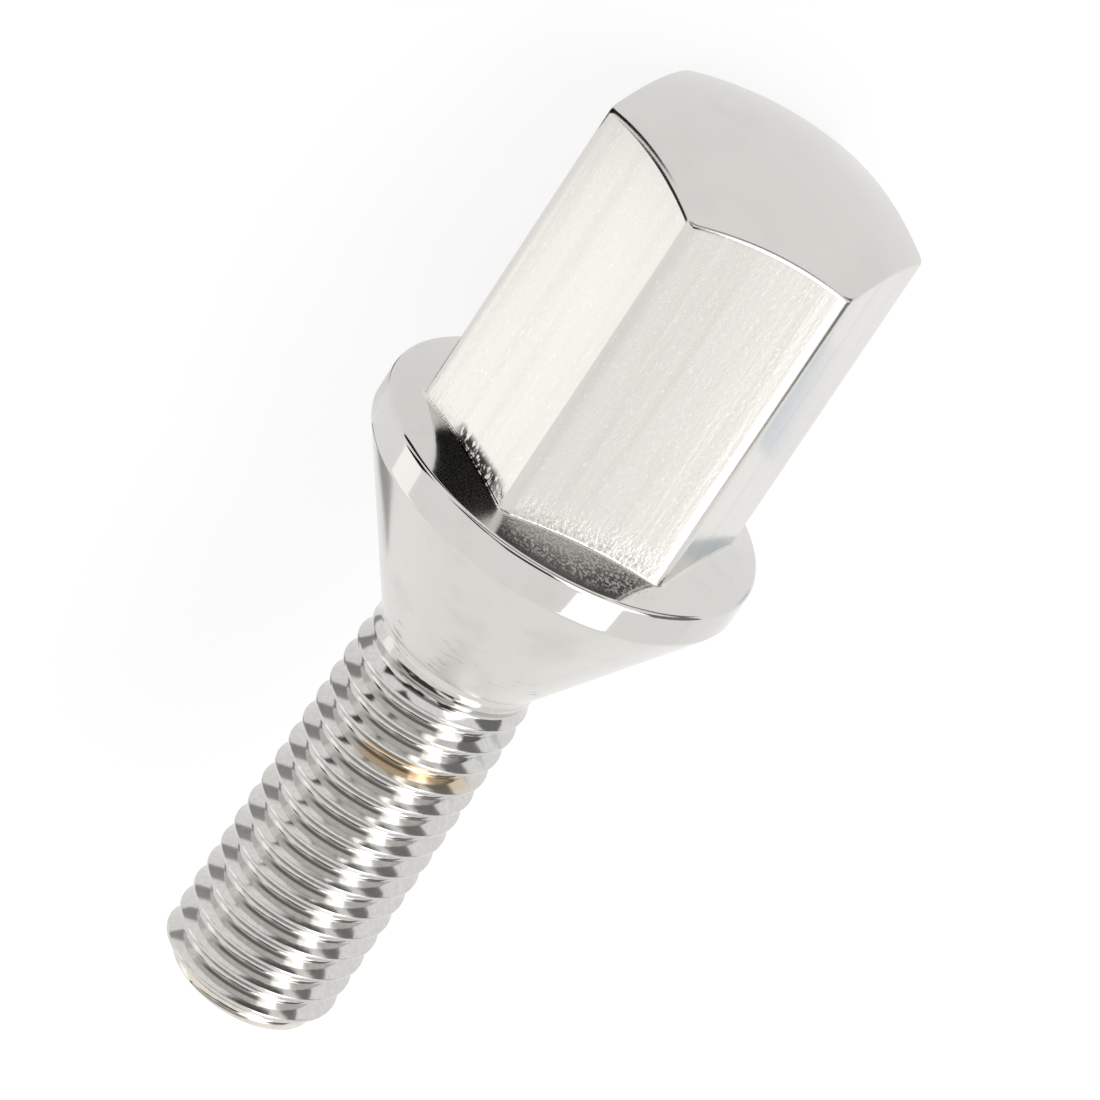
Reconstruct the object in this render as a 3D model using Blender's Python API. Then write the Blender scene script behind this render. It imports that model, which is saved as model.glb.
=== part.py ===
"""Chromed lug bolt: long domed hex head, round flange with a conical seat, and an M12 x 1.75 thread.

It is one forged, turned, thread-rolled and plated piece, so it is one solid. The bolt is modelled
upright about its own Z axis, head up, with Z = 0 at the top of the flange band. An empty then lays it
on its side as it comes to rest: on the flange rim and on the edge of one hex flat, tip along +X.

Lengths are in metres and angles in degrees.
"""

import math

import bmesh
import bpy
from mathutils import Euler, Matrix, Vector

# Head
HEX_ACROSS_FLATS = 0.0190
HEX_CORNER_RADIUS = 0.0009
HEAD_HEIGHT = 0.0261
DOME_RADIUS = 0.0240
DOME_EDGE_RADIUS = 0.00045
HEAD_FILLET_RADIUS = 0.00025

# Flange and conical seat
FLANGE_DIAMETER = 0.0260
FLANGE_BAND_HEIGHT = 0.00225
FLANGE_TOP_SLOPE = 15.5
FLANGE_RIM_RADIUS = 0.0004
SEAT_EDGE_RADIUS = 0.0006
SEAT_INCLUDED_ANGLE = 64.0
NECK_FILLET_RADIUS = 0.0010

# Shank and thread
THREAD_DIAMETER = 0.0117
THREAD_PITCH = 0.00175
THREAD_START_ANGLE = 41.0
THREAD_RUNOUT_TURNS = 1.5
NECK_RELIEF = 0.00025
SHANK_LENGTH = 0.0283
TIP_CHAMFER_ANGLE = 45.0

# ISO metric profile of an external thread, its crest and its depth as shares of the pitch
THREAD_FLANK_ANGLE = 30.0
CREST_SHARE = 1 / 8
DEPTH_SHARE = 0.6134

# Facets
HEX_SIDES = 6
CORNER_POINTS = 4
FLAT_POINTS = 6
COLUMNS = HEX_SIDES * (CORNER_POINTS + FLAT_POINTS)
DOME_RINGS = 6
EDGE_STEPS = 4
FILLET_STEPS = 2
SPARE_TURNS = 2
SNAP_SHARE = 0.02
SHARP_ANGLE = 25.0

CHROME_COLOUR = (0.80, 0.79, 0.77, 1.0)
CHROME_ROUGHNESS = 0.12


def arc(centre, radius, start, end, steps):
    """Points along an arc about a centre, with the angles in radians."""
    points = []
    for step in range(steps + 1):
        angle = start + (end - start) * step / steps
        points.append(Vector((centre[0] + radius * math.cos(angle), centre[1] + radius * math.sin(angle))))
    return points


def hex_section():
    """The rounded hexagon seen from the head: one point (x, y) for each column, a flat facing +X."""
    half_side = math.pi / HEX_SIDES
    centre = (HEX_ACROSS_FLATS / 2 - HEX_CORNER_RADIUS) / math.cos(half_side)
    corner = arc((centre, 0.0), HEX_CORNER_RADIUS, -half_side, half_side, CORNER_POINTS - 1)
    section = []
    for side in range(HEX_SIDES):
        turn = Matrix.Rotation((2 * side + 1) * half_side, 2)
        next_turn = Matrix.Rotation((2 * side + 3) * half_side, 2)
        section += [turn @ point for point in corner]
        flat_start = turn @ corner[-1]
        flat_end = next_turn @ corner[0]
        for step in range(1, FLAT_POINTS + 1):
            section.append(flat_start.lerp(flat_end, step / (FLAT_POINTS + 1)))
    return section


def round_angles():
    """Evenly spaced angles, one for each column, set so that each lies nearest its hexagon point."""
    step = math.tau / COLUMNS
    first = math.pi / HEX_SIDES - step * (CORNER_POINTS - 1) / 2
    return [first + step * column for column in range(COLUMNS)]


def flange_top_height(radius):
    """Height of the sloping flange top at a distance from the axis."""
    return (FLANGE_DIAMETER / 2 - radius) * math.tan(math.radians(FLANGE_TOP_SLOPE))


def head_edge_centre(hex_radius):
    """Centre (r, z) of the rounding between the dome and the side of the head."""
    r = hex_radius - DOME_EDGE_RADIUS
    rise = math.sqrt((DOME_RADIUS - DOME_EDGE_RADIUS) ** 2 - r ** 2)
    return r, HEAD_HEIGHT - DOME_RADIUS + rise


def head_profile(hex_radius):
    """Points (r, z) down one column of the head, from the dome to the foot of the hexagon."""
    dome_centre = (0.0, HEAD_HEIGHT - DOME_RADIUS)
    edge = head_edge_centre(hex_radius)
    edge_start = math.atan2(edge[1] - dome_centre[1], edge[0])
    slope = math.radians(FLANGE_TOP_SLOPE)
    foot_radius = hex_radius + HEAD_FILLET_RADIUS
    foot = (foot_radius, flange_top_height(foot_radius) + HEAD_FILLET_RADIUS / math.cos(slope))
    dome = arc(dome_centre, DOME_RADIUS, math.pi / 2, edge_start, DOME_RINGS)
    points = dome[1:-1]
    points += arc(edge, DOME_EDGE_RADIUS, edge_start, 0.0, EDGE_STEPS)
    points += arc(foot, HEAD_FILLET_RADIUS, math.pi, 1.5 * math.pi - slope, FILLET_STEPS)
    return points


def rim_centre():
    """Centre (r, z) of the rounding at the top of the flange band."""
    slope = math.radians(FLANGE_TOP_SLOPE)
    drop = FLANGE_RIM_RADIUS * (1 - math.sin(slope)) / math.cos(slope)
    return FLANGE_DIAMETER / 2 - FLANGE_RIM_RADIUS, -drop


def neck_radius():
    """Radius of the shank where the thread starts, a little under its crest."""
    return THREAD_DIAMETER / 2 - NECK_RELIEF


def root_radius():
    """Radius at the bottom of the thread's groove."""
    return THREAD_DIAMETER / 2 - DEPTH_SHARE * THREAD_PITCH


def seat_end_height():
    """Height at which the conical seat meets the neck."""
    half_angle = math.radians(SEAT_INCLUDED_ANGLE / 2)
    return -FLANGE_BAND_HEIGHT - (FLANGE_DIAMETER / 2 - neck_radius()) / math.tan(half_angle)


def turned_profile():
    """Points (r, z) from the flange rim down the band and the conical seat to the neck."""
    half_angle = math.radians(SEAT_INCLUDED_ANGLE / 2)
    slope = math.radians(FLANGE_TOP_SLOPE)
    edge_rise = SEAT_EDGE_RADIUS * (1 - math.cos(half_angle)) / math.sin(half_angle)
    edge = (FLANGE_DIAMETER / 2 - SEAT_EDGE_RADIUS, edge_rise - FLANGE_BAND_HEIGHT)
    neck_drop = NECK_FILLET_RADIUS * math.tan(half_angle / 2)
    neck = (neck_radius() + NECK_FILLET_RADIUS, seat_end_height() - neck_drop)
    points = arc(rim_centre(), FLANGE_RIM_RADIUS, math.pi / 2 - slope, 0.0, EDGE_STEPS)
    points += arc(edge, SEAT_EDGE_RADIUS, 0.0, -half_angle, FILLET_STEPS)
    points += arc(neck, NECK_FILLET_RADIUS, math.pi - half_angle, math.pi, FILLET_STEPS)
    return points


def tip_height():
    """Height of the flat end of the shank."""
    return seat_end_height() - SHANK_LENGTH


def thread_turn():
    """One turn of the thread: (share of the pitch, radius) at each of its edges."""
    root_start = CREST_SHARE / 2 + DEPTH_SHARE * math.tan(math.radians(THREAD_FLANK_ANGLE))
    return [
        (CREST_SHARE / 2, THREAD_DIAMETER / 2),
        (root_start, root_radius()),
        (1 - root_start, root_radius()),
        (1 - CREST_SHARE / 2, THREAD_DIAMETER / 2),
    ]


def thread_point(turns, radius, start):
    """Point (r, z) of the thread after so many turns down from its start.

    The thread grows out of the neck along the run-out, and the chamfer at the tip cuts its last turn. A
    point that would lie past either end, or almost on it, is put on it.
    """
    snap = SNAP_SHARE * THREAD_PITCH
    z = start - turns * THREAD_PITCH
    if z > start - snap:
        z = start
    if z < tip_height() + snap:
        z = tip_height()
    run = min(max(turns / THREAD_RUNOUT_TURNS, 0.0), 1.0)
    chamfer = root_radius() + (z - tip_height()) * math.tan(math.radians(TIP_CHAMFER_ANGLE))
    return min(neck_radius() + (radius - neck_radius()) * run, chamfer), z


def ring(bm, places):
    """A ring of vertices, one for each column."""
    return [bm.verts.new(place) for place in places]


def skin(bm, upper, lower):
    """A band of faces between two rings, facing away from the axis."""
    for column in range(COLUMNS):
        beside = (column + 1) % COLUMNS
        bm.faces.new((upper[column], lower[column], lower[beside], upper[beside]))


def around(angle, r, z):
    """The place at an angle around the axis."""
    return r * math.cos(angle), r * math.sin(angle), z


def add_head(bm):
    """The domed hexagon, lofted down to its foot on the flange; returns its lowest ring."""
    section = hex_section()
    profiles = [head_profile(point.length) for point in section]
    rings = []
    for level in zip(*profiles):
        places = [
            (*(outline.normalized() * point.x), point.y) for outline, point in zip(section, level)
        ]
        rings.append(ring(bm, places))
    apex = bm.verts.new((0.0, 0.0, HEAD_HEIGHT))
    for column in range(COLUMNS):
        bm.faces.new((apex, rings[0][column], rings[0][(column + 1) % COLUMNS]))
    for upper, lower in zip(rings, rings[1:]):
        skin(bm, upper, lower)
    return rings[-1]


def add_flange(bm, above):
    """The flange, its band and its conical seat, below the ring given; returns its lowest ring."""
    for r, z in turned_profile():
        below = ring(bm, [around(angle, r, z) for angle in round_angles()])
        skin(bm, above, below)
        above = below
    return above


def add_thread(bm, neck):
    """The threaded shank below the neck ring, and its flat end.

    Each row of vertices follows a right-hand helix, so a row's last column continues into the first
    column of the row one turn above. Points past an end share that end's ring.
    """
    start = neck[0].co.z
    end_radius, end_height = thread_point(SHANK_LENGTH / THREAD_PITCH, root_radius(), start)
    end = ring(bm, [around(angle, end_radius, end_height) for angle in round_angles()])
    turn = thread_turn()
    lowest_turn = math.ceil(SHANK_LENGTH / THREAD_PITCH) + SPARE_TURNS
    start_turn = math.radians(THREAD_START_ANGLE) / math.tau
    rows = []
    for whole in range(-SPARE_TURNS, lowest_turn):
        for share, radius in turn:
            row = []
            for column, angle in enumerate(round_angles()):
                turns = whole + share + start_turn - angle / math.tau
                r, z = thread_point(turns, radius, start)
                if z == start:
                    row.append(neck[column])
                elif z == end_height:
                    row.append(end[column])
                else:
                    row.append(bm.verts.new(around(angle, r, z)))
            rows.append(row)
    for index in range(len(turn) + 1, len(rows)):
        upper, lower = rows[index - 1], rows[index]
        upper = upper + [rows[index - 1 - len(turn)][0]]
        lower = lower + [rows[index - len(turn)][0]]
        for column in range(COLUMNS):
            corners = (upper[column], lower[column], lower[column + 1], upper[column + 1])
            distinct = list(dict.fromkeys(corners))
            if len(distinct) > 2:
                bm.faces.new(distinct)
    bm.faces.new(reversed(end))


def chrome_material():
    """Bright plating over steel."""
    material = bpy.data.materials.new("chrome_plating")
    material.use_nodes = True
    shader = material.node_tree.nodes["Principled BSDF"]
    shader.inputs["Base Color"].default_value = CHROME_COLOUR
    shader.inputs["Metallic"].default_value = 1.0
    shader.inputs["Roughness"].default_value = CHROME_ROUGHNESS
    return material


def build_bolt():
    """The whole bolt as one closed mesh object, upright about its own axis."""
    bm = bmesh.new()
    foot = add_head(bm)
    neck = add_flange(bm, foot)
    add_thread(bm, neck)
    mesh = bpy.data.meshes.new("lug_bolt")
    bm.to_mesh(mesh)
    bm.free()
    mesh.shade_smooth()
    mesh.set_sharp_from_angle(angle=math.radians(SHARP_ANGLE))
    mesh.materials.append(chrome_material())
    bolt = bpy.data.objects.new("lug_bolt", mesh)
    bpy.context.collection.objects.link(bolt)
    return bolt


def resting_tilt():
    """How far the axis dips towards the head when the bolt lies on its rim and on a flat's edge."""
    rim_radius, rim_height = rim_centre()
    edge_radius, edge_height = head_edge_centre(HEX_ACROSS_FLATS / 2)
    inwards = rim_radius * math.cos(math.pi / COLUMNS) - edge_radius
    along = edge_height - rim_height
    slant = math.asin((FLANGE_RIM_RADIUS - DOME_EDGE_RADIUS) / math.hypot(inwards, along))
    return math.atan2(inwards, along) + slant


def lay_on_side(bolt):
    """Lays the bolt down with an empty: tip along +X, lowest point at Z = 0, centred over the origin."""
    frame = bpy.data.objects.new("resting_frame", None)
    bpy.context.collection.objects.link(frame)
    turn = Euler((0.0, -math.pi / 2 - resting_tilt(), 0.0))
    places = [turn.to_matrix() @ vertex.co for vertex in bolt.data.vertices]
    lowest = [min(place[axis] for place in places) for axis in range(3)]
    highest = [max(place[axis] for place in places) for axis in range(3)]
    frame.rotation_euler = turn
    frame.location = (-(lowest[0] + highest[0]) / 2, -(lowest[1] + highest[1]) / 2, -lowest[2])
    bolt.parent = frame


def main():
    for existing in list(bpy.data.objects):
        bpy.data.objects.remove(existing)
    lay_on_side(build_bolt())


main()
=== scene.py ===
"""Looks of the chromed lug bolt: its finely modelled surface, its plating, the floor, light and camera.

The bolt is modelled upright about its own Z axis, head up, with Z = 0 at the top of the flange band, and
is then laid down as the frame's node lies. Lengths are in metres and angles in degrees.
"""

import math

import bmesh
import bpy
from mathutils import Euler, Matrix, Vector


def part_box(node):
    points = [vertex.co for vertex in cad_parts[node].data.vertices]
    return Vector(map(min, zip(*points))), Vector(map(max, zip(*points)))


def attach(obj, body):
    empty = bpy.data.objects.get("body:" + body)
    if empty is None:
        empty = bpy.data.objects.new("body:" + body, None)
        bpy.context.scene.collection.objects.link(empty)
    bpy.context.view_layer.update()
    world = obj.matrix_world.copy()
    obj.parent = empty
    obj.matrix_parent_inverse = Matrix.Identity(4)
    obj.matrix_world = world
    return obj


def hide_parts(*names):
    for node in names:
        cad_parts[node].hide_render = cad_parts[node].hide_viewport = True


NODE = "lug_bolt"

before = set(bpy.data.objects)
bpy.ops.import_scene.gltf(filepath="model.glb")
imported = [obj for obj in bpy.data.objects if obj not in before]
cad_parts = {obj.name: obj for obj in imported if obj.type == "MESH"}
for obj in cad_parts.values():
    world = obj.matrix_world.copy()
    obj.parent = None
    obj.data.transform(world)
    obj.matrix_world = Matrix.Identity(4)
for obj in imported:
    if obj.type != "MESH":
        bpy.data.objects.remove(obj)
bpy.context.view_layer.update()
NODE_LOW, NODE_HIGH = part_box(NODE)

# Head
HEX_ACROSS_FLATS = 0.0190
HEX_CORNER_RADIUS = 0.0009
HEAD_HEIGHT = 0.0261
DOME_RADIUS = 0.0240
DOME_EDGE_RADIUS = 0.00045
HEAD_FILLET_RADIUS = 0.00025

# Flange and conical seat. The flange is as broad as the node, less a little for its finer rounding.
FLANGE_INSET = 0.00001
FLANGE_RADIUS = (NODE_HIGH.y - NODE_LOW.y) / 2 - FLANGE_INSET
FLANGE_BAND_HEIGHT = 0.00225
FLANGE_TOP_SLOPE = 15.5
FLANGE_RIM_RADIUS = 0.0004
SEAT_EDGE_RADIUS = 0.0006
SEAT_INCLUDED_ANGLE = 64.0
NECK_FILLET_RADIUS = 0.0010

# Shank and thread, with the small roundings of a rolled thread. Shares are shares of the pitch.
THREAD_DIAMETER = 0.0117
THREAD_PITCH = 0.00175
THREAD_START_ANGLE = 41.0
THREAD_RUNOUT_TURNS = 1.5
THREAD_FLANK_ANGLE = 30.0
CREST_SHARE = 1 / 8
CREST_HEAD_EDGE_RADIUS = 0.00006
CREST_TIP_EDGE_RADIUS = 0.00018
ROOT_RADIUS_SHARE = 0.18
TIP_DEPTH_SHARE = 0.6134
NECK_RELIEF = 0.00025
SHANK_LENGTH = 0.0283
TIP_CHAMFER_ANGLE = 45.0

# Facets
HEX_SIDES = 6
CORNER_POINTS = 9
FLAT_POINTS = 27
COLUMNS = HEX_SIDES * (CORNER_POINTS + FLAT_POINTS)
DOME_RINGS = 24
EDGE_STEPS = 8
FILLET_STEPS = 4
HEAD_EDGE_STEPS = 2
TIP_EDGE_STEPS = 6
ROOT_STEPS = 8
SPARE_TURNS = 2
SNAP_SHARE = 0.004
SHARP_ANGLE = 40.0

# Regions of the bolt's surface, in the order of its materials
DOME, FLATS, FLANGE, SEAT, THREAD = range(5)

# Plating: colours and roughness
CHROME_COLOUR = (0.655, 0.645, 0.617, 1.0)
FLAT_COLOUR = (0.71, 0.688, 0.65, 1.0)
STREAK_COLOUR = (0.66, 0.638, 0.6, 1.0)
SCUFF_COLOUR = (0.77, 0.75, 0.715, 1.0)
SMUDGE_COLOUR = (0.63, 0.62, 0.593, 1.0)
SEAT_COLOUR = (0.69, 0.674, 0.637, 1.0)
MARK_COLOUR = (0.3, 0.295, 0.29, 1.0)
GROOVE_COLOUR = (0.6, 0.59, 0.57, 1.0)
STAIN_COLOUR = (0.61, 0.515, 0.395, 1.0)
TIP_COLOUR = (0.76, 0.71, 0.63, 1.0)
# painted reflection: the dark line along the thread's grooves
PAINTED_REFLECTION_LINE_COLOUR = (0.12, 0.115, 0.105, 1.0)
# soot in the grooves by the neck, and the painted black reflection at one flat's foot
SOOT_AND_PAINTED_REFLECTION_COLOUR = (0.035, 0.032, 0.028, 1.0)
# a dusting that also paints a mottled reflection in front of one flat
DUST_AND_PAINTED_MOTTLE_COLOUR = (0.34, 0.32, 0.3, 1.0)
DOME_ROUGHNESS = 0.2
FLAT_ROUGHNESS = 0.15
FLANGE_ROUGHNESS = 0.07
SEAT_ROUGHNESS = 0.16
THREAD_ROUGHNESS = 0.11

# Noise patterns: scale, stretch along the bolt's axes, and detail
EVEN = (1.0, 1.0, 1.0)
DOME_SMUDGES = (260.0, EVEN, 3.0)
DOME_GRAIN = (2500.0, EVEN, 3.0)
FLAT_RIPPLES = (1500.0, (1.0, 1.0, 0.06), 3.0)
FLAT_STREAKS = (700.0, (1.0, 1.0, 0.04), 3.0)
FLAT_GRAIN = (4200.0, (1.0, 1.0, 0.7), 4.0)
FLAT_SCUFFS = (6500.0, (1.0, 0.6, 0.4), 3.0)
# ragged pattern of the painted black reflection at one flat's foot
PAINTED_FOOT_REFLECTION = (3400.0, (1.0, 1.0, 0.6), 3.0)
# pattern of the dusting that also paints a mottled reflection at one flat's foot
FLAT_DUST_AND_PAINTED_MOTTLE = (5200.0, EVEN, 3.0)
FLANGE_HAZE = (500.0, EVEN, 3.0)
# pattern of the dusting that also paints a mottled reflection on the flange in front of one flat
FLANGE_DUST_AND_PAINTED_MOTTLE = (4800.0, EVEN, 5.0)
FLANGE_GRAIN = (1500.0, EVEN, 3.0)
SEAT_MARKS = (4000.0, (0.12, 0.12, 1.0), 3.0)
SEAT_PATCHES = (330.0, EVEN, 3.0)
SEAT_CLOUDS = (300.0, EVEN, 3.0)
THREAD_GRAIN = (3000.0, EVEN, 3.0)
TIP_PATCHES = (900.0, EVEN, 3.0)
SOOT_STREAKS = (900.0, (0.4, 0.4, 3.0), 3.0)

# Levels of the noise at which marks start to show and show fully
SMUDGE_LEVELS = (0.45, 0.75)
SCUFF_LEVELS = (0.55, 0.75)
# levels of the painted black reflection at one flat's foot
PAINTED_FOOT_REFLECTION_LEVELS = (0.36, 0.5)
# levels of the dusting and painted mottled reflection on the flat
FLAT_DUST_AND_PAINTED_MOTTLE_LEVELS = (0.5, 0.6)
HAZE_LEVELS = (0.5, 0.75)
# levels of the dusting and painted mottled reflection on the flange
FLANGE_DUST_AND_PAINTED_MOTTLE_LEVELS = (0.47, 0.6)
SEAT_MARK_LEVELS = (0.5, 0.72)
SEAT_PATCH_LEVELS = (0.5, 0.62)
THREAD_GRAIN_LEVELS = (0.35, 0.7)
TIP_PATCH_LEVELS = (0.42, 0.62)
SOOT_STREAK_LEVELS = (0.42, 0.5)

# Heights at which marks start to show and show fully. The tip's are counted from the shank's end.
FOOT_GRAIN_HEIGHTS = (0.004, 0.001)
# heights of the painted black reflection at one flat's foot
PAINTED_FOOT_REFLECTION_HEIGHTS = (0.0022, 0.0015)
# heights of the dusting and painted mottled reflection on the flat
FLAT_DUST_AND_PAINTED_MOTTLE_HEIGHTS = (0.0024, 0.0012)
# heights of the dusting and painted mottled reflection on the flange
FLANGE_DUST_AND_PAINTED_MOTTLE_HEIGHTS = (0.0001, 0.0004)
SEAT_MARK_HEIGHTS = (-0.0085, -0.0125)
TIP_START_RISE = 0.0014
TIP_FULL_RISE = 0.0006

# Sectors around the axis that marks keep to: the middle, the half width, and the share that shows fully
STAIN_SECTOR = (8.0, 55.0)
# the painted dark reflection line along the grooves keeps to this sector
PAINTED_REFLECTION_LINE_SECTOR = (-20.5, 30.0)
SOOT_SECTOR = (-20.0, 32.0)
# the painted black reflection at one flat's foot keeps to this sector
PAINTED_FOOT_REFLECTION_SECTOR = (-52.0, 19.0)
# the dusting that also paints a mottled reflection keeps to this sector
DUST_AND_PAINTED_MOTTLE_SECTOR = (0.0, 30.0)
CORE_SHARE = 0.6

# Strengths of marks, and of the flats' grain all over and more of it at the foot
# strengths of the dusting that also paints a mottled reflection, on the flat and on the flange
FLAT_DUST_AND_PAINTED_MOTTLE_STRENGTH = 0.7
FLANGE_DUST_AND_PAINTED_MOTTLE_STRENGTH = 0.6
TIP_PATCH_STRENGTH = 0.6
# strength of the painted dark reflection line along the grooves
PAINTED_REFLECTION_LINE_STRENGTH = 0.9
FLAT_GRAIN_STRENGTH = 0.5
FOOT_GRAIN_STRENGTH = 3.0

# Depths of the relief, where a negative one cuts the marks in
DOME_RELIEF = 0.0000004
FLAT_RELIEF = 0.000005
FLANGE_RELIEF = 0.000001
SEAT_RELIEF = -0.000004
THREAD_RELIEF = 0.000002

# Stained groove: the height of its middle at angle 0, and its half width
STAIN_HEIGHT = -0.0207
STAIN_HALF_WIDTH = 0.0008

# Painted dark reflection line along the head side of the grooves: its place in the pitch and its half
# widths
PAINTED_REFLECTION_LINE_SHARE = 0.685
PAINTED_REFLECTION_LINE_HALF_SHARE = 0.055
PAINTED_REFLECTION_LINE_CORE_SHARE = 0.015

# Sooty grooves by the neck: the heights of their middles at angle 0, and their half width
SOOT_HEIGHTS = (-0.01473, -0.0155)
SOOT_HALF_WIDTH = 0.00027

# Floor: how much of it glows plain white, and its size
FLOOR_SIZE = 4.0
FLOOR_COLOUR = (0.9, 0.9, 0.9, 1.0)
FLOOR_GLOW_SHARE = 0.85

# Colours of the surroundings and of the cards
WHITE = (1.0, 1.0, 1.0, 1.0)
BLACK = (0.01, 0.01, 0.01, 1.0)
CHARCOAL = (0.05, 0.05, 0.05, 1.0)
DIM = (0.2, 0.2, 0.2, 1.0)
GREY = (0.36, 0.36, 0.36, 1.0)
BLUE_GREY = (0.55, 0.61, 0.67, 1.0)

# Places and directions that the lamps and cards are set by
BOLT_MIDDLE = Vector((0.0, 0.0, 0.013))
ORIGIN = Vector((0.0, 0.0, 0.0))
ACROSS = Vector((0.0, 1.0, 0.0))
UP = Vector((0.0, 0.0, 1.0))

# Lamps aimed at the bolt's middle: name, azimuth, elevation, distance, width, height, radiance
SOFTBOXES = [
    ("right_softbox", 80.0, 57.0, 0.5, 0.48, 0.22, 1.6),
    ("back_softbox", 130.0, 51.0, 0.5, 0.58, 0.27, 1.6),
]

# Lamp beside the bolt that shines across it: name, place, width, height, radiance
SIDE_SOFTBOX = ("left_softbox", Vector((0.034, -0.075, 0.012)), 0.08, 0.024, 0.34)

# Cards that face the bolt's middle: name, colour, azimuth, elevation, distance, width, height
CARDS = [
    ("head_card", CHARCOAL, -176.0, 13.5, 0.27, 0.32, 0.0615),
    ("camera_card", CHARCOAL, -156.0, 60.0, 0.45, 0.32, 0.24),
    ("line_card", CHARCOAL, -131.0, 30.0, 0.3, 0.085, 0.17),
    ("back_card", DIM, 137.0, -1.0, 0.08, 0.05, 0.02),
    ("high_card", DIM, 104.0, 18.0, 0.085, 0.05, 0.05),
]

# Cards set by place, one upright and the others level: name, colour, place, facing, width, height
PLACED_CARDS = [
    ("side_card", BLACK, Vector((-0.0305, -0.075, 0.012)), ACROSS, 0.048, 0.024),
    ("low_card", BLACK, Vector((-0.04, -0.026, 0.001)), UP, 0.032, 0.022),
    ("groove_card", GREY, Vector((0.00975, -0.0159, 0.0005)), UP, 0.0305, 0.006),
    ("pale_card", WHITE, Vector((-0.0036, -0.0143, 0.008)), UP, 0.006, 0.0036),
    ("blue_card", BLUE_GREY, Vector((-0.009, 0.0315, 0.0005)), UP, 0.0095, 0.0107),
]

# Camera, as fitted to the photo. Its roll turns the picture the way the photo shows the bolt.
CAMERA_AIM = Vector((-0.00451, 0.00062, 0.01578))
CAMERA_DISTANCE = 0.71728
CAMERA_AZIMUTH = -155.29
CAMERA_ELEVATION = 51.09
CAMERA_ROLL = 173.96
CAMERA_LENS = 383.95
CAMERA_SENSOR = 36.0


def arc(centre, radius, start, end, steps):
    """Points along an arc about a centre, with the angles in radians."""
    points = []
    for step in range(steps + 1):
        angle = start + (end - start) * step / steps
        points.append(Vector((centre[0] + radius * math.cos(angle), centre[1] + radius * math.sin(angle))))
    return points


def hex_section():
    """The rounded hexagon seen from the head: one point (x, y) for each column, a flat facing +X."""
    half_side = math.pi / HEX_SIDES
    centre = (HEX_ACROSS_FLATS / 2 - HEX_CORNER_RADIUS) / math.cos(half_side)
    corner = arc((centre, 0.0), HEX_CORNER_RADIUS, -half_side, half_side, CORNER_POINTS - 1)
    section = []
    for side in range(HEX_SIDES):
        turn = Matrix.Rotation((2 * side + 1) * half_side, 2)
        next_turn = Matrix.Rotation((2 * side + 3) * half_side, 2)
        section += [turn @ point for point in corner]
        flat_start = turn @ corner[-1]
        flat_end = next_turn @ corner[0]
        for step in range(1, FLAT_POINTS + 1):
            section.append(flat_start.lerp(flat_end, step / (FLAT_POINTS + 1)))
    return section


def round_angles():
    """Evenly spaced angles, one for each column, set so that each lies nearest its hexagon point."""
    step = math.tau / COLUMNS
    first = math.pi / HEX_SIDES - step * (CORNER_POINTS - 1) / 2
    return [first + step * column for column in range(COLUMNS)]


def flange_top_height(radius):
    """Height of the sloping flange top at a distance from the axis."""
    return (FLANGE_RADIUS - radius) * math.tan(math.radians(FLANGE_TOP_SLOPE))


def head_edge_centre(hex_radius):
    """Centre (r, z) of the rounding between the dome and the side of the head."""
    r = hex_radius - DOME_EDGE_RADIUS
    rise = math.sqrt((DOME_RADIUS - DOME_EDGE_RADIUS) ** 2 - r ** 2)
    return r, HEAD_HEIGHT - DOME_RADIUS + rise


def head_profile(hex_radius):
    """Points (r, z) down one column of the head, from the dome to the foot of the hexagon."""
    dome_centre = (0.0, HEAD_HEIGHT - DOME_RADIUS)
    edge = head_edge_centre(hex_radius)
    edge_start = math.atan2(edge[1] - dome_centre[1], edge[0])
    slope = math.radians(FLANGE_TOP_SLOPE)
    foot_radius = hex_radius + HEAD_FILLET_RADIUS
    foot = (foot_radius, flange_top_height(foot_radius) + HEAD_FILLET_RADIUS / math.cos(slope))
    dome = arc(dome_centre, DOME_RADIUS, math.pi / 2, edge_start, DOME_RINGS)
    points = dome[1:-1]
    points += arc(edge, DOME_EDGE_RADIUS, edge_start, 0.0, EDGE_STEPS)
    points += arc(foot, HEAD_FILLET_RADIUS, math.pi, 1.5 * math.pi - slope, FILLET_STEPS)
    return points


def rim_centre():
    """Centre (r, z) of the rounding at the top of the flange band."""
    slope = math.radians(FLANGE_TOP_SLOPE)
    drop = FLANGE_RIM_RADIUS * (1 - math.sin(slope)) / math.cos(slope)
    return FLANGE_RADIUS - FLANGE_RIM_RADIUS, -drop


def neck_radius():
    """Radius of the shank where the thread starts, a little under its crest."""
    return THREAD_DIAMETER / 2 - NECK_RELIEF


def tip_radius():
    """Radius of the shank's flat end, where the chamfer stops."""
    return THREAD_DIAMETER / 2 - TIP_DEPTH_SHARE * THREAD_PITCH


def seat_end_height():
    """Height at which the conical seat would meet the neck without the rounding between them."""
    half_angle = math.radians(SEAT_INCLUDED_ANGLE / 2)
    return -FLANGE_BAND_HEIGHT - (FLANGE_RADIUS - neck_radius()) / math.tan(half_angle)


def thread_start_height():
    """Height at which the rounding beside the conical seat ends and the thread starts."""
    drop = NECK_FILLET_RADIUS * math.tan(math.radians(SEAT_INCLUDED_ANGLE / 2) / 2)
    return seat_end_height() - drop


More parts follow.
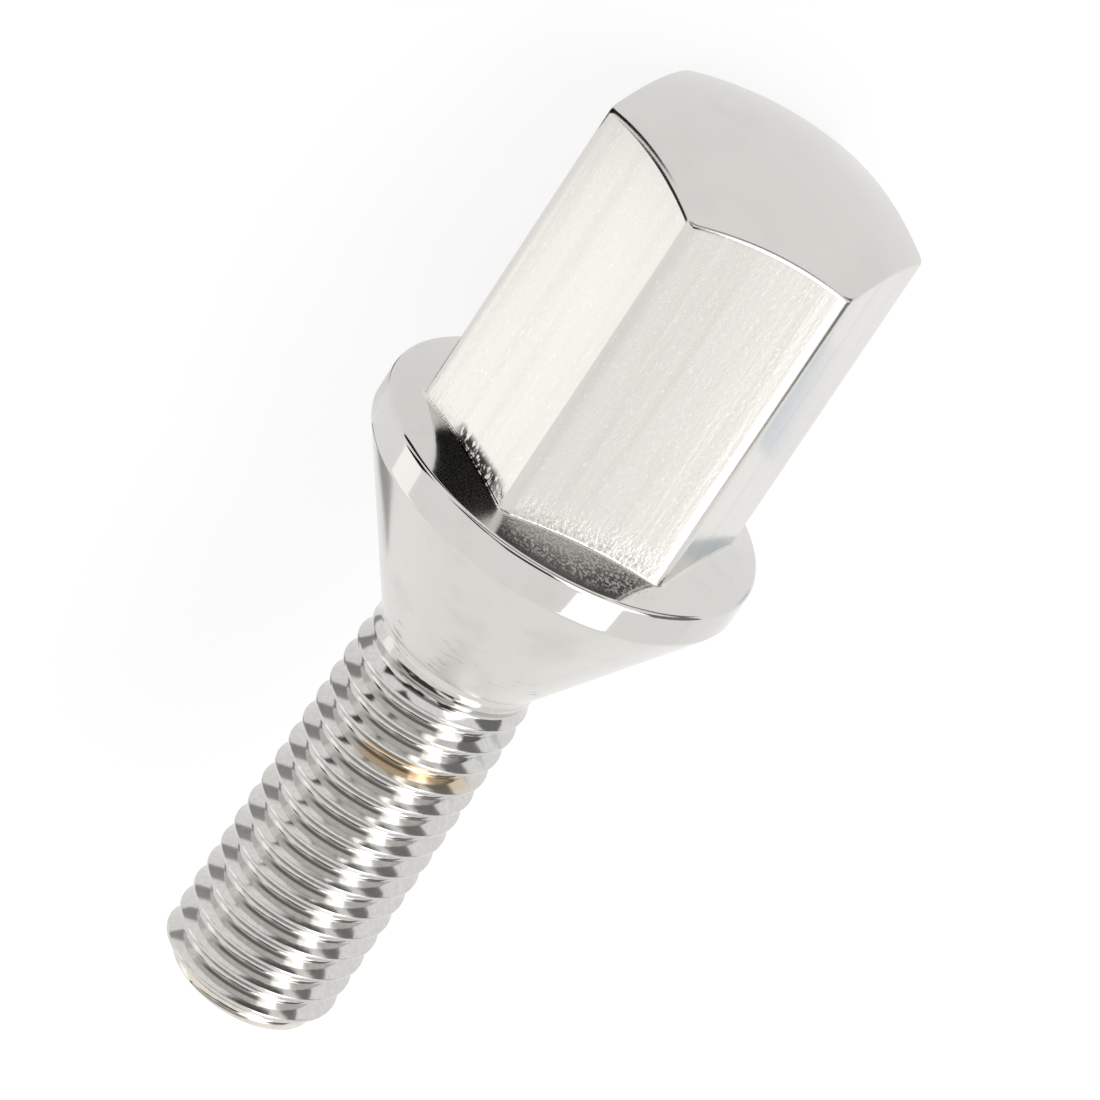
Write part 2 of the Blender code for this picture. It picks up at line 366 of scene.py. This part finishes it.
def turned_profile():
    """Points (r, z) from the flange rim down the band and the conical seat to the neck."""
    half_angle = math.radians(SEAT_INCLUDED_ANGLE / 2)
    slope = math.radians(FLANGE_TOP_SLOPE)
    edge_rise = SEAT_EDGE_RADIUS * (1 - math.cos(half_angle)) / math.sin(half_angle)
    edge = (FLANGE_RADIUS - SEAT_EDGE_RADIUS, edge_rise - FLANGE_BAND_HEIGHT)
    neck = (neck_radius() + NECK_FILLET_RADIUS, thread_start_height())
    points = arc(rim_centre(), FLANGE_RIM_RADIUS, math.pi / 2 - slope, 0.0, EDGE_STEPS)
    points += arc(edge, SEAT_EDGE_RADIUS, 0.0, -half_angle, EDGE_STEPS)
    points += arc(neck, NECK_FILLET_RADIUS, math.pi - half_angle, math.pi, EDGE_STEPS)
    return points


def tip_height():
    """Height of the flat end of the shank."""
    return seat_end_height() - SHANK_LENGTH


def groove_radius():
    """Radius at the bottom of the thread's rounded groove."""
    flank = math.radians(THREAD_FLANK_ANGLE)
    sharp_depth = (1 - CREST_SHARE) / 2 / math.tan(flank)
    filling = ROOT_RADIUS_SHARE * (1 / math.sin(flank) - 1)
    return THREAD_DIAMETER / 2 - THREAD_PITCH * (sharp_depth - filling)


def rounded(before, corner, after, radius, steps):
    """Points of an arc of a radius that rounds a corner between two others."""
    inward = (before - corner).normalized()
    outward = (after - corner).normalized()
    half = inward.angle(outward) / 2
    centre = corner + (inward + outward).normalized() * (radius / math.sin(half))
    first = corner + inward * (radius / math.tan(half)) - centre
    last = corner + outward * (radius / math.tan(half)) - centre
    sweep = first.angle_signed(last)
    return [centre + Matrix.Rotation(-sweep * step / steps, 2) @ first for step in range(steps + 1)]


def thread_turn():
    """One turn of the thread: (share of the pitch, radius) along its profile, from the crest's middle."""
    crest = THREAD_DIAMETER / 2
    half_crest = CREST_SHARE * THREAD_PITCH / 2
    flank = math.radians(THREAD_FLANK_ANGLE)
    root_arc = ROOT_RADIUS_SHARE * THREAD_PITCH
    root_centre = (THREAD_PITCH / 2, groove_radius() + root_arc)
    root = arc(root_centre, root_arc, math.pi + flank, 2 * math.pi - flank, ROOT_STEPS)
    upper_corner = Vector((half_crest, crest))
    lower_corner = Vector((THREAD_PITCH - half_crest, crest))
    upper_middle = Vector((0.0, crest))
    lower_middle = Vector((THREAD_PITCH, crest))
    points = [upper_middle]
    points += rounded(upper_middle, upper_corner, root[0], CREST_TIP_EDGE_RADIUS, TIP_EDGE_STEPS)
    points += root
    points += rounded(root[-1], lower_corner, lower_middle, CREST_HEAD_EDGE_RADIUS, HEAD_EDGE_STEPS)
    return [(point.x / THREAD_PITCH, point.y) for point in points]


def thread_point(turns, radius, start):
    """Point (r, z) of the thread after so many turns down from its start.

    The thread grows out of the neck along the run-out, and the chamfer at the tip cuts its last turn. A
    point that would lie past either end, or almost on it, is put on it.
    """
    snap = SNAP_SHARE * THREAD_PITCH
    z = start - turns * THREAD_PITCH
    if z > start - snap:
        z = start
    if z < tip_height() + snap:
        z = tip_height()
    run = min(max(turns / THREAD_RUNOUT_TURNS, 0.0), 1.0)
    chamfer = tip_radius() + (z - tip_height()) * math.tan(math.radians(TIP_CHAMFER_ANGLE))
    return min(neck_radius() + (radius - neck_radius()) * run, chamfer), z


def ring(bm, places):
    """A ring of vertices, one for each column."""
    return [bm.verts.new(place) for place in places]


def skin(bm, upper, lower, region):
    """A band of faces between two rings, facing away from the axis."""
    for column in range(COLUMNS):
        beside = (column + 1) % COLUMNS
        face = bm.faces.new((upper[column], lower[column], lower[beside], upper[beside]))
        face.material_index = region


def around(angle, r, z):
    """The place at an angle around the axis."""
    return r * math.cos(angle), r * math.sin(angle), z


def add_head(bm):
    """The domed hexagon, lofted down to its foot on the flange; returns its lowest ring."""
    section = hex_section()
    profiles = [head_profile(point.length) for point in section]
    rings = []
    for level in zip(*profiles):
        places = [
            (*(outline.normalized() * point.x), point.y) for outline, point in zip(section, level)
        ]
        rings.append(ring(bm, places))
    apex = bm.verts.new((0.0, 0.0, HEAD_HEIGHT))
    for column in range(COLUMNS):
        bm.faces.new((apex, rings[0][column], rings[0][(column + 1) % COLUMNS]))
    for index, (upper, lower) in enumerate(zip(rings, rings[1:])):
        skin(bm, upper, lower, DOME if index < DOME_RINGS + EDGE_STEPS // 2 else FLATS)
    return rings[-1]


def add_flange(bm, above):
    """The flange, its band and its conical seat, below the ring given; returns its lowest ring."""
    for index, (r, z) in enumerate(turned_profile()):
        below = ring(bm, [around(angle, r, z) for angle in round_angles()])
        skin(bm, above, below, FLANGE if index < 2 * EDGE_STEPS else SEAT)
        above = below
    return above


def add_thread(bm, neck):
    """The threaded shank below the neck ring, and its flat end.

    Each row of vertices follows a right-hand helix, so a row's last column continues into the first
    column of the row one turn above. Points past an end share that end's ring.
    """
    start = neck[0].co.z
    end_radius, end_height = thread_point(SHANK_LENGTH / THREAD_PITCH, tip_radius(), start)
    end = ring(bm, [around(angle, end_radius, end_height) for angle in round_angles()])
    turn = thread_turn()
    lowest_turn = math.ceil(SHANK_LENGTH / THREAD_PITCH) + SPARE_TURNS
    start_turn = math.radians(THREAD_START_ANGLE) / math.tau
    rows = []
    for whole in range(-SPARE_TURNS, lowest_turn):
        for share, radius in turn:
            row = []
            for column, angle in enumerate(round_angles()):
                turns = whole + share + start_turn - angle / math.tau
                r, z = thread_point(turns, radius, start)
                if z == start:
                    row.append(neck[column])
                elif z == end_height:
                    row.append(end[column])
                else:
                    row.append(bm.verts.new(around(angle, r, z)))
            rows.append(row)
    for index in range(len(turn) + 1, len(rows)):
        upper, lower = rows[index - 1], rows[index]
        upper = upper + [rows[index - 1 - len(turn)][0]]
        lower = lower + [rows[index - len(turn)][0]]
        for column in range(COLUMNS):
            corners = (upper[column], lower[column], lower[column + 1], upper[column + 1])
            distinct = list(dict.fromkeys(corners))
            if len(distinct) > 2:
                bm.faces.new(distinct).material_index = THREAD
    bm.faces.new(reversed(end)).material_index = THREAD


def resting_tilt():
    """How far the axis dips towards the head when the bolt lies on its rim and on a flat's edge."""
    rim_radius, rim_height = rim_centre()
    edge_radius, edge_height = head_edge_centre(HEX_ACROSS_FLATS / 2)
    inwards = rim_radius - edge_radius
    along = edge_height - rim_height
    slant = math.asin((FLANGE_RIM_RADIUS - DOME_EDGE_RADIUS) / math.hypot(inwards, along))
    return math.atan2(inwards, along) + slant


def lying_place(mesh):
    """The turn and the shift that lay the upright bolt down where the frame's node lies."""
    turn = Euler((0.0, -math.pi / 2 - resting_tilt(), 0.0))
    places = [turn.to_matrix() @ vertex.co for vertex in mesh.vertices]
    farthest = max(place.x for place in places)
    lowest = min(place.z for place in places)
    shift = Vector((NODE_HIGH.x - farthest, (NODE_LOW.y + NODE_HIGH.y) / 2, NODE_LOW.z - lowest))
    return turn, shift


def build_bolt():
    """The bolt's fine surface, laid down, with its turn and its shift from the upright place."""
    bm = bmesh.new()
    foot = add_head(bm)
    neck = add_flange(bm, foot)
    add_thread(bm, neck)
    mesh = bpy.data.meshes.new("plated_bolt")
    bm.to_mesh(mesh)
    bm.free()
    mesh.shade_smooth()
    mesh.set_sharp_from_angle(angle=math.radians(SHARP_ANGLE))
    turn, shift = lying_place(mesh)
    mesh.transform(Matrix.Translation(shift) @ turn.to_matrix().to_4x4())
    bolt = bpy.data.objects.new("plated_bolt", mesh)
    bpy.context.scene.collection.objects.link(bolt)
    return bolt, turn, shift


def new_node(tree, kind, **sockets):
    """A new node of a kind, with its input sockets set by name."""
    node = tree.nodes.new("ShaderNode" + kind)
    for name, value in sockets.items():
        node.inputs[name.replace("_", " ")].default_value = value
    return node


def bolt_place(tree, turn, shift):
    """The place of a point on the upright bolt."""
    coordinates = new_node(tree, "TexCoord")
    mapping = new_node(tree, "Mapping", Location=shift, Rotation=turn)
    mapping.vector_type = "TEXTURE"
    tree.links.new(coordinates.outputs["Object"], mapping.inputs["Vector"])
    return mapping.outputs["Vector"]


def split_place(tree, place):
    """The node that splits a place into its X, Y and Z."""
    split = new_node(tree, "SeparateXYZ")
    tree.links.new(place, split.inputs["Vector"])
    return split


def noise(tree, place, scale, stretch, detail):
    """Noise of a scale over places, squeezed or stretched along the bolt's axes."""
    mapping = new_node(tree, "Mapping", Scale=stretch)
    texture = new_node(tree, "TexNoise", Scale=scale, Detail=detail)
    tree.links.new(place, mapping.inputs["Vector"])
    tree.links.new(mapping.outputs["Vector"], texture.inputs["Vector"])
    return texture.outputs["Fac"]


def spread(tree, value, low, high):
    """A value drawn out smoothly so that low gives 0 and high gives 1."""
    limits = new_node(tree, "MapRange", From_Min=low, From_Max=high)
    limits.interpolation_type = "SMOOTHSTEP"
    tree.links.new(value, limits.inputs["Value"])
    return limits.outputs["Result"]


def marks(tree, place, pattern, levels):
    """How much marks of a noise pattern show, between the levels at which they start and are full."""
    return spread(tree, noise(tree, place, *pattern), *levels)


def combined(tree, operation, first, second):
    """Two values, either of them a plain number, put together by a sum, a product or the like."""
    node = tree.nodes.new("ShaderNodeMath")
    node.operation = operation
    for socket, value in zip(node.inputs, (first, second)):
        if isinstance(value, float):
            socket.default_value = value
        else:
            tree.links.new(value, socket)
    return node.outputs["Value"]


def product(tree, *values):
    """Several values, any of them a plain number, multiplied together."""
    total = values[0]
    for value in values[1:]:
        total = combined(tree, "MULTIPLY", total, value)
    return total


def mixed(tree, share, first, second):
    """Two colours, the first of them a plain one or a socket, mixed by a share."""
    node = new_node(tree, "MixRGB", Color2=second)
    tree.links.new(share, node.inputs["Fac"])
    if isinstance(first, tuple):
        node.inputs["Color1"].default_value = first
    else:
        tree.links.new(first, node.inputs["Color1"])
    return node.outputs["Color"]


def off_middle(tree, value, middle):
    """How far a value is from a middle one."""
    return combined(tree, "ABSOLUTE", combined(tree, "SUBTRACT", value, middle), 0.0)


def turn_angle(tree, split):
    """The angle of a place around the axis, in radians."""
    return combined(tree, "ARCTAN2", split.outputs["Y"], split.outputs["X"])


def helix_climb(tree, split):
    """How far the thread's helix climbs from angle 0 to the angle of a place."""
    return combined(tree, "MULTIPLY", turn_angle(tree, split), THREAD_PITCH / math.tau)


def sector_share(tree, split, middle_angle, half_angle):
    """How near a place is to an angle around the axis: 1 in the middle of the sector, 0 outside it."""
    off_angle = off_middle(tree, turn_angle(tree, split), math.radians(middle_angle))
    return spread(tree, off_angle, math.radians(half_angle), math.radians(half_angle) * CORE_SHARE)


def groove_share(tree, split, height, half_width, sector):
    """How much a mark along the thread shows: 1 in its middle, 0 away from it."""
    level = combined(tree, "SUBTRACT", split.outputs["Z"], helix_climb(tree, split))
    in_groove = spread(tree, off_middle(tree, level, height), half_width, half_width * CORE_SHARE)
    return product(tree, in_groove, sector_share(tree, split, *sector))


def painted_reflection_line_share(tree, split):
    """How much the painted dark reflection line shows in the thread's grooves, on the side that faces the
    head.
    """
    start = thread_start_height() - math.radians(THREAD_START_ANGLE) * THREAD_PITCH / math.tau
    start_level = combined(tree, "ADD", helix_climb(tree, split), start)
    depth = combined(tree, "SUBTRACT", start_level, split.outputs["Z"])
    turn_share = combined(tree, "FRACT", combined(tree, "DIVIDE", depth, THREAD_PITCH), 0.0)
    line = spread(tree, off_middle(tree, turn_share, PAINTED_REFLECTION_LINE_SHARE), PAINTED_REFLECTION_LINE_HALF_SHARE, PAINTED_REFLECTION_LINE_CORE_SHARE)
    return product(tree, line, sector_share(tree, split, *PAINTED_REFLECTION_LINE_SECTOR), PAINTED_REFLECTION_LINE_STRENGTH)


def chrome(name, roughness):
    """A chrome material without any marks: itself, its tree and its shader."""
    material = bpy.data.materials.new(name)
    material.use_nodes = True
    shader = material.node_tree.nodes["Principled BSDF"]
    shader.inputs["Metallic"].default_value = 1.0
    shader.inputs["Roughness"].default_value = roughness
    return material, material.node_tree, shader


def add_dust_and_painted_mottle(tree, shader, colour, share):
    """A matte dusting over chrome of a colour, as thick as a share says; it also paints a mottled
    reflection.
    """
    tree.links.new(mixed(tree, share, colour, DUST_AND_PAINTED_MOTTLE_COLOUR), shader.inputs["Base Color"])
    tree.links.new(combined(tree, "SUBTRACT", 1.0, share), shader.inputs["Metallic"])


def emboss(tree, shader, height, depth):
    """Gives a surface relief, from a height between 0 and 1 and the depth of the relief."""
    bump = new_node(tree, "Bump", Distance=depth)
    tree.links.new(height, bump.inputs["Height"])
    tree.links.new(bump.outputs["Normal"], shader.inputs["Normal"])


def dome_chrome(turn, shift):
    """Smooth satin chrome with faint smudges."""
    material, tree, shader = chrome("dome_chrome", DOME_ROUGHNESS)
    place = bolt_place(tree, turn, shift)
    smudges = marks(tree, place, DOME_SMUDGES, SMUDGE_LEVELS)
    colour = mixed(tree, smudges, CHROME_COLOUR, SMUDGE_COLOUR)
    tree.links.new(colour, shader.inputs["Base Color"])
    emboss(tree, shader, noise(tree, place, *DOME_GRAIN), DOME_RELIEF)
    return material


def flat_chrome(turn, shift):
    """Chrome over drawn flats: streaks, scuffs, ripples and grain, a painted black reflection at one foot,
    and at another a dusting that also paints a mottled reflection.
    """
    material, tree, shader = chrome("flat_chrome", FLAT_ROUGHNESS)
    place = bolt_place(tree, turn, shift)
    split = split_place(tree, place)
    height = split.outputs["Z"]
    streaks = marks(tree, place, FLAT_STREAKS, SMUDGE_LEVELS)
    scuffs = marks(tree, place, FLAT_SCUFFS, SCUFF_LEVELS)
    # painted reflection: a ragged black patch at the foot of one flat
    painted_foot_reflection = product(
        tree,
        spread(tree, height, *PAINTED_FOOT_REFLECTION_HEIGHTS),
        marks(tree, place, PAINTED_FOOT_REFLECTION, PAINTED_FOOT_REFLECTION_LEVELS),
        sector_share(tree, split, *PAINTED_FOOT_REFLECTION_SECTOR),
    )
    # a dusting that also paints a mottled reflection at this flat's foot
    dust_and_painted_mottle = product(
        tree,
        marks(tree, place, FLAT_DUST_AND_PAINTED_MOTTLE, FLAT_DUST_AND_PAINTED_MOTTLE_LEVELS),
        spread(tree, height, *FLAT_DUST_AND_PAINTED_MOTTLE_HEIGHTS),
        sector_share(tree, split, *DUST_AND_PAINTED_MOTTLE_SECTOR),
        FLAT_DUST_AND_PAINTED_MOTTLE_STRENGTH,
    )
    colour = mixed(tree, streaks, FLAT_COLOUR, STREAK_COLOUR)
    colour = mixed(tree, scuffs, colour, SCUFF_COLOUR)
    colour = mixed(tree, painted_foot_reflection, colour, SOOT_AND_PAINTED_REFLECTION_COLOUR)
    add_dust_and_painted_mottle(tree, shader, colour, dust_and_painted_mottle)
    foot_strength = product(tree, spread(tree, height, *FOOT_GRAIN_HEIGHTS), FOOT_GRAIN_STRENGTH)
    grain_strength = combined(tree, "ADD", foot_strength, FLAT_GRAIN_STRENGTH)
    grain = product(tree, noise(tree, place, *FLAT_GRAIN), grain_strength)
    relief = combined(tree, "ADD", noise(tree, place, *FLAT_RIPPLES), grain)
    emboss(tree, shader, relief, FLAT_RELIEF)
    return material


def flange_chrome(turn, shift):
    """Bright chrome with a faint haze; in front of one flat a dusting that also paints a mottled
    reflection.
    """
    material, tree, shader = chrome("flange_chrome", FLANGE_ROUGHNESS)
    place = bolt_place(tree, turn, shift)
    split = split_place(tree, place)
    haze = marks(tree, place, FLANGE_HAZE, HAZE_LEVELS)
    # a dusting that also paints a mottled reflection on the flange in front of one flat
    dust_and_painted_mottle = product(
        tree,
        marks(tree, place, FLANGE_DUST_AND_PAINTED_MOTTLE, FLANGE_DUST_AND_PAINTED_MOTTLE_LEVELS),
        sector_share(tree, split, *DUST_AND_PAINTED_MOTTLE_SECTOR),
        spread(tree, split.outputs["Z"], *FLANGE_DUST_AND_PAINTED_MOTTLE_HEIGHTS),
        FLANGE_DUST_AND_PAINTED_MOTTLE_STRENGTH,
    )
    add_dust_and_painted_mottle(tree, shader, mixed(tree, haze, CHROME_COLOUR, SMUDGE_COLOUR), dust_and_painted_mottle)
    emboss(tree, shader, noise(tree, place, *FLANGE_GRAIN), FLANGE_RELIEF)
    return material


def seat_chrome(turn, shift):
    """Chrome over a turned cone, with turning marks that show most beside the neck."""
    material, tree, shader = chrome("seat_chrome", SEAT_ROUGHNESS)
    place = bolt_place(tree, turn, shift)
    split = split_place(tree, place)
    turning_marks = product(
        tree,
        marks(tree, place, SEAT_MARKS, SEAT_MARK_LEVELS),
        spread(tree, split.outputs["Z"], *SEAT_MARK_HEIGHTS),
        marks(tree, place, SEAT_PATCHES, SEAT_PATCH_LEVELS),
    )
    colour = mixed(tree, marks(tree, place, SEAT_CLOUDS, SMUDGE_LEVELS), SEAT_COLOUR, SMUDGE_COLOUR)
    colour = mixed(tree, turning_marks, colour, MARK_COLOUR)
    tree.links.new(colour, shader.inputs["Base Color"])
    emboss(tree, shader, turning_marks, SEAT_RELIEF)
    return material


def tip_share(tree, place, split):
    """How warm the chrome is: not at all on the shank, and in patches on its tip."""
    start = tip_height() + TIP_START_RISE
    full = tip_height() + TIP_FULL_RISE
    patches = product(tree, marks(tree, place, TIP_PATCHES, TIP_PATCH_LEVELS), TIP_PATCH_STRENGTH)
    return product(
        tree,
        spread(tree, split.outputs["Z"], start, full),
        combined(tree, "SUBTRACT", 1.0, patches),
    )


def thread_chrome(turn, shift):
    """Chrome on the thread: dull in places, warm at the tip, with one tan groove, a painted dark
    reflection line along the grooves, and soot.
    """
    material, tree, shader = chrome("thread_chrome", THREAD_ROUGHNESS)
    place = bolt_place(tree, turn, shift)
    split = split_place(tree, place)
    grain = noise(tree, place, *THREAD_GRAIN)
    colour = mixed(tree, spread(tree, grain, *THREAD_GRAIN_LEVELS), GROOVE_COLOUR, CHROME_COLOUR)
    colour = mixed(tree, tip_share(tree, place, split), colour, TIP_COLOUR)
    stain = groove_share(tree, split, STAIN_HEIGHT, STAIN_HALF_WIDTH, STAIN_SECTOR)
    colour = mixed(tree, stain, colour, STAIN_COLOUR)
    # painted reflection: a dark line along the head side of each groove
    colour = mixed(tree, painted_reflection_line_share(tree, split), colour, PAINTED_REFLECTION_LINE_COLOUR)
    streaks = marks(tree, place, SOOT_STREAKS, SOOT_STREAK_LEVELS)
    for height in SOOT_HEIGHTS:
        soot = groove_share(tree, split, height, SOOT_HALF_WIDTH, SOOT_SECTOR)
        colour = mixed(tree, product(tree, soot, streaks), colour, SOOT_AND_PAINTED_REFLECTION_COLOUR)
    tree.links.new(colour, shader.inputs["Base Color"])
    emboss(tree, shader, grain, THREAD_RELIEF)
    return material


def dress_bolt(bolt, turn, shift):
    """Gives each region of the bolt its chrome."""
    for make in (dome_chrome, flat_chrome, flange_chrome, seat_chrome, thread_chrome):
        bolt.data.materials.append(make(turn, shift))


def seen_ray(tree):
    """A value of 1 for rays from the camera, or from gloss or glass, and 0 for the rest."""
    path = new_node(tree, "LightPath")
    total = path.outputs["Is Camera Ray"]
    for ray in ("Is Glossy Ray", "Is Transmission Ray"):
        total = combined(tree, "ADD", total, path.outputs[ray])
        total.node.use_clamp = True
    return total


def add_panel(name, place, facing, width, height, material):
    """A staged flat panel at a place, facing a direction."""
    half_width, half_height = width / 2, height / 2
    corners = [
        (-half_width, -half_height, 0.0),
        (half_width, -half_height, 0.0),
        (half_width, half_height, 0.0),
        (-half_width, half_height, 0.0),
    ]
    mesh = bpy.data.meshes.new(name)
    mesh.from_pydata(corners, [], [(0, 1, 2, 3)])
    mesh.materials.append(material)
    panel = bpy.data.objects.new(name, mesh)
    panel.location = place
    panel.rotation_euler = facing.to_track_quat("Z", "Y").to_euler()
    bpy.context.scene.collection.objects.link(panel)
    return panel


def add_floor():
    """A plain white floor that keeps the bolt's soft shadow."""
    material = bpy.data.materials.new("floor")
    material.use_nodes = True
    tree = material.node_tree
    tree.nodes.clear()
    matte = new_node(tree, "BsdfDiffuse", Color=FLOOR_COLOUR)
    glow = new_node(tree, "Emission", Color=WHITE)
    mix = new_node(tree, "MixShader")
    output = new_node(tree, "OutputMaterial")
    tree.links.new(product(tree, seen_ray(tree), FLOOR_GLOW_SHARE), mix.inputs["Fac"])
    tree.links.new(matte.outputs["BSDF"], mix.inputs[1])
    tree.links.new(glow.outputs["Emission"], mix.inputs[2])
    tree.links.new(mix.outputs["Shader"], output.inputs["Surface"])
    add_panel("floor", ORIGIN, UP, FLOOR_SIZE, FLOOR_SIZE, material)


def direction(azimuth, elevation):
    """The unit vector at an azimuth from +X towards +Y, and an elevation, in degrees."""
    azimuth = math.radians(azimuth)
    elevation = math.radians(elevation)
    return Vector((
        math.cos(azimuth) * math.cos(elevation),
        math.sin(azimuth) * math.cos(elevation),
        math.sin(elevation),
    ))


def add_card(name, colour, place, facing, width, height):
    """A matte card of a colour, which only the chrome sees."""
    material = bpy.data.materials.new(name)
    material.use_nodes = True
    shader = material.node_tree.nodes["Principled BSDF"]
    shader.inputs["Base Color"].default_value = colour
    shader.inputs["Roughness"].default_value = 1.0
    shader.inputs["Specular IOR Level"].default_value = 0.0
    card = add_panel(name, place, facing, width, height, material)
    card.visible_camera = False
    card.visible_diffuse = False
    card.visible_shadow = False


def add_softbox(name, place, target, width, height, radiance):
    """An even rectangular lamp aimed at a target, as bright as a radiance says."""
    data = bpy.data.lights.new(name, "AREA")
    data.shape = "RECTANGLE"
    data.size = width
    data.size_y = height
    data.energy = radiance * math.pi * width * height
    lamp = bpy.data.objects.new(name, data)
    lamp.location = place
    lamp.rotation_euler = (target - place).to_track_quat("-Z", "Y").to_euler()
    lamp.visible_camera = False
    bpy.context.scene.collection.objects.link(lamp)


def add_light():
    """The white surroundings, the soft lamps and the cards that the chrome shows."""
    world = bpy.data.worlds.new("white_room")
    world.use_nodes = True
    world.node_tree.nodes["Background"].inputs["Color"].default_value = WHITE
    bpy.context.scene.world = world
    for name, azimuth, elevation, distance, width, height, radiance in SOFTBOXES:
        place = BOLT_MIDDLE + direction(azimuth, elevation) * distance
        add_softbox(name, place, BOLT_MIDDLE, width, height, radiance)
    name, place, width, height, radiance = SIDE_SOFTBOX
    add_softbox(name, place, place + ACROSS, width, height, radiance)
    for name, colour, azimuth, elevation, distance, width, height in CARDS:
        toward = direction(azimuth, elevation)
        add_card(name, colour, BOLT_MIDDLE + toward * distance, -toward, width, height)
    for card in PLACED_CARDS:
        add_card(*card)


def add_camera():
    """The camera at the photo's viewing angle."""
    back = direction(CAMERA_AZIMUTH, CAMERA_ELEVATION)
    data = bpy.data.cameras.new("camera")
    data.lens = CAMERA_LENS
    data.sensor_width = CAMERA_SENSOR
    camera = bpy.data.objects.new("camera", data)
    level = (-back).to_track_quat("-Z", "Y").to_matrix()
    turned = level @ Matrix.Rotation(-math.radians(CAMERA_ROLL), 3, "Z")
    camera.rotation_euler = turned.to_euler()
    camera.location = CAMERA_AIM + back * CAMERA_DISTANCE
    bpy.context.scene.collection.objects.link(camera)
    bpy.context.scene.camera = camera


def main():
    """Builds the bolt, dresses it, and adds the camera, the floor and the light."""
    bolt, turn, shift = build_bolt()
    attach(bolt, "root")
    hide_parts(NODE)
    dress_bolt(bolt, turn, shift)
    add_camera()
    add_floor()
    add_light()
    bpy.context.scene.view_settings.view_transform = "Standard"


main()
